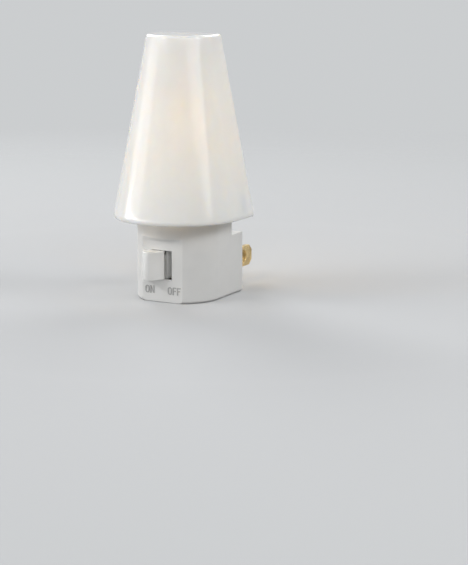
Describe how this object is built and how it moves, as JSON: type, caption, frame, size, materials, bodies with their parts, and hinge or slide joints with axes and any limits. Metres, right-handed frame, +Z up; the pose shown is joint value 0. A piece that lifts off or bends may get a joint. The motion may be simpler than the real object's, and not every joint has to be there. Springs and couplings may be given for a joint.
{
  "type": "plug in night light",
  "caption": "Plug in night light: tapered white shade open to the wall over a small lamp, a round fronted base with a slide switch, and two flat plug blades behind.",
  "frame": {"origin": "midway between the two blades on the wall side face of the base", "axes": "+X right as seen from the room, +Y into the wall along the blades, +Z up along the lamp"},
  "size_m": [0.0392, 0.0531, 0.0788],
  "materials": {
    "white_plastic": "satin moulded plastic",
    "back_plastic": "fine matt moulded plastic",
    "switch_plastic": "satin moulded plastic",
    "shade_plastic": "glossy translucent white",
    "blade_brass": "brushed",
    "strip_brass": "rolled strip",
    "cap_metal": "bright rolled thread",
    "steel": "plated",
    "board": "pressed insulating board",
    "socket_black": "moulded insulating plastic",
    "lamp_glass": "clear glass",
    "dark_glass": "dark glass insulator",
    "filament": "drawn wire"
  },
  "bodies": {
    "base": {"base_shell": "white_plastic", "back_plate": "back_plastic", "blade_retainer": "board", "blade_hot": "blade_brass", "blade_neutral": "blade_brass", "hot_lead": "strip_brass", "neutral_lead": "strip_brass", "load_lead": "strip_brass", "switch_board": "board", "detent_spring": "steel", "socket_cup": "socket_black", "socket_shell": "strip_brass", "centre_contact": "strip_brass", "rivets": "steel", "case_screws": "steel"},
    "switch": {"slider": "switch_plastic", "contact_spring": "steel", "bridge_contact": "strip_brass"},
    "shade": {"shade": "shade_plastic"},
    "lamp": {"bulb_glass": "lamp_glass", "bulb_cap": "cap_metal", "bulb_insulator": "dark_glass", "bulb_tip": "steel", "bulb_stem": "lamp_glass", "bulb_wires": "steel", "bulb_filament": "filament"}
  },
  "joints": [
    {"name": "switch_slide", "type": "slide", "parent": "base", "child": "switch", "axis": [1, 0, 0], "range_m": [0, 0.0052]},
    {"name": "shade_lift", "type": "slide", "parent": "base", "child": "shade", "axis": [0, 0, 1], "range_m": [0, 0.05]},
    {"name": "bulb_turn", "type": "hinge", "parent": "base", "child": "lamp", "pos_m": [0, -0.016, 0.03], "axis": [0, 0, 1], "continuous": true}
  ]
}
